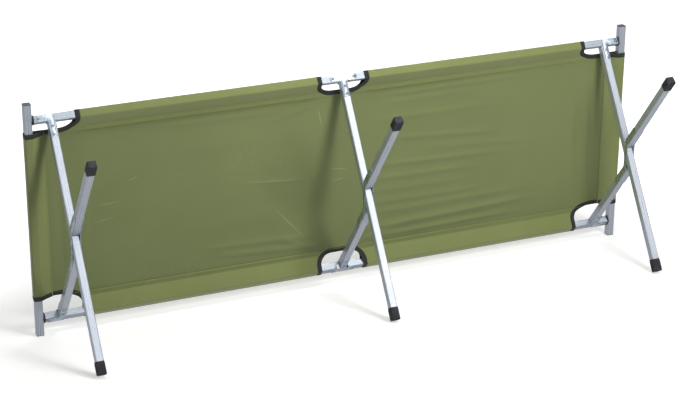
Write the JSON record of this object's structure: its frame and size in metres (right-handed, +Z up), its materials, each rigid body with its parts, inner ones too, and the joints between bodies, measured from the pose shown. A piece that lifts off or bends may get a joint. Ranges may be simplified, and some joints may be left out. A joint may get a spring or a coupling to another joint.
{
  "type": "camp bed",
  "caption": "Folding camp bed with a square aluminium tube frame, crossed scissor legs, slide-on end bars and one stretched cloth with sleeves.",
  "frame": {"origin": "on the floor under the middle of the bed", "axes": "+X along the bed, +Y across it towards the side with the split legs, +Z up"},
  "size_m": [1.9032, 0.7, 0.4207],
  "materials": {
    "tube": "satin drawn aluminium",
    "plate": "bright zinc plate",
    "plug": "matt moulded",
    "cloth": "coated woven polyester"
  },
  "bodies": {
    "frame_a": {"rail_a_left": "tube", "rail_a_right": "tube", "rail_plug_a_left": "plug", "rail_plug_a_right": "plug", "straight_leg_left": "tube", "straight_leg_middle": "tube", "straight_leg_right": "tube", "foot_cap_a_left": "plug", "foot_cap_a_middle": "plug", "foot_cap_a_right": "plug", "l_plate_a_left_top": "plate", "l_plate_a_left_under": "plate", "l_plate_a_right_top": "plate", "l_plate_a_right_under": "plate", "t_plate_a_top": "plate", "t_plate_a_under": "plate", "end_rivet_a_left": "plate", "end_rivet_a_right": "plate", "scissor_rivet_left": "plate", "scissor_rivet_middle": "plate", "scissor_rivet_right": "plate", "cloth_panel": "cloth"},
    "frame_b": {"rail_b_left": "tube", "rail_b_right": "tube", "rail_plug_b_left": "plug", "rail_plug_b_right": "plug", "split_leg_upper_left": "tube", "split_leg_upper_middle": "tube", "split_leg_upper_right": "tube", "split_leg_lower_left": "tube", "split_leg_lower_middle": "tube", "split_leg_lower_right": "tube", "elbow_plate_left_1": "plate", "elbow_plate_left_2": "plate", "elbow_plate_middle_1": "plate", "elbow_plate_middle_2": "plate", "elbow_plate_right_1": "plate", "elbow_plate_right_2": "plate", "foot_cap_b_left": "plug", "foot_cap_b_middle": "plug", "foot_cap_b_right": "plug", "l_plate_b_left_top": "plate", "l_plate_b_left_under": "plate", "l_plate_b_right_top": "plate", "l_plate_b_right_under": "plate", "t_plate_b_top": "plate", "t_plate_b_under": "plate", "end_rivet_b_left": "plate", "end_rivet_b_right": "plate"},
    "end_bar_left": {"end_bar_left": "tube", "bar_plug_left_a": "plug", "bar_plug_left_b": "plug", "end_sleeve_left": "cloth"},
    "end_bar_right": {"end_bar_right": "tube", "bar_plug_right_a": "plug", "bar_plug_right_b": "plug", "end_sleeve_right": "cloth"}
  },
  "joints": [
    {"name": "scissor", "type": "hinge", "parent": "frame_a", "child": "frame_b", "pos_m": [0, 0, 0.20793], "axis": [1, 0, 0], "range_deg": [0, 108.8], "deforming": ["cloth_panel", "end_sleeve_left", "end_sleeve_right"]},
    {"name": "end_bar_left_slide", "type": "slide", "parent": "frame_a", "child": "end_bar_left", "axis": [-1, 0, 0], "range_m": [0, 0.016]},
    {"name": "end_bar_right_slide", "type": "slide", "parent": "frame_a", "child": "end_bar_right", "axis": [1, 0, 0], "range_m": [0, 0.016]}
  ]
}
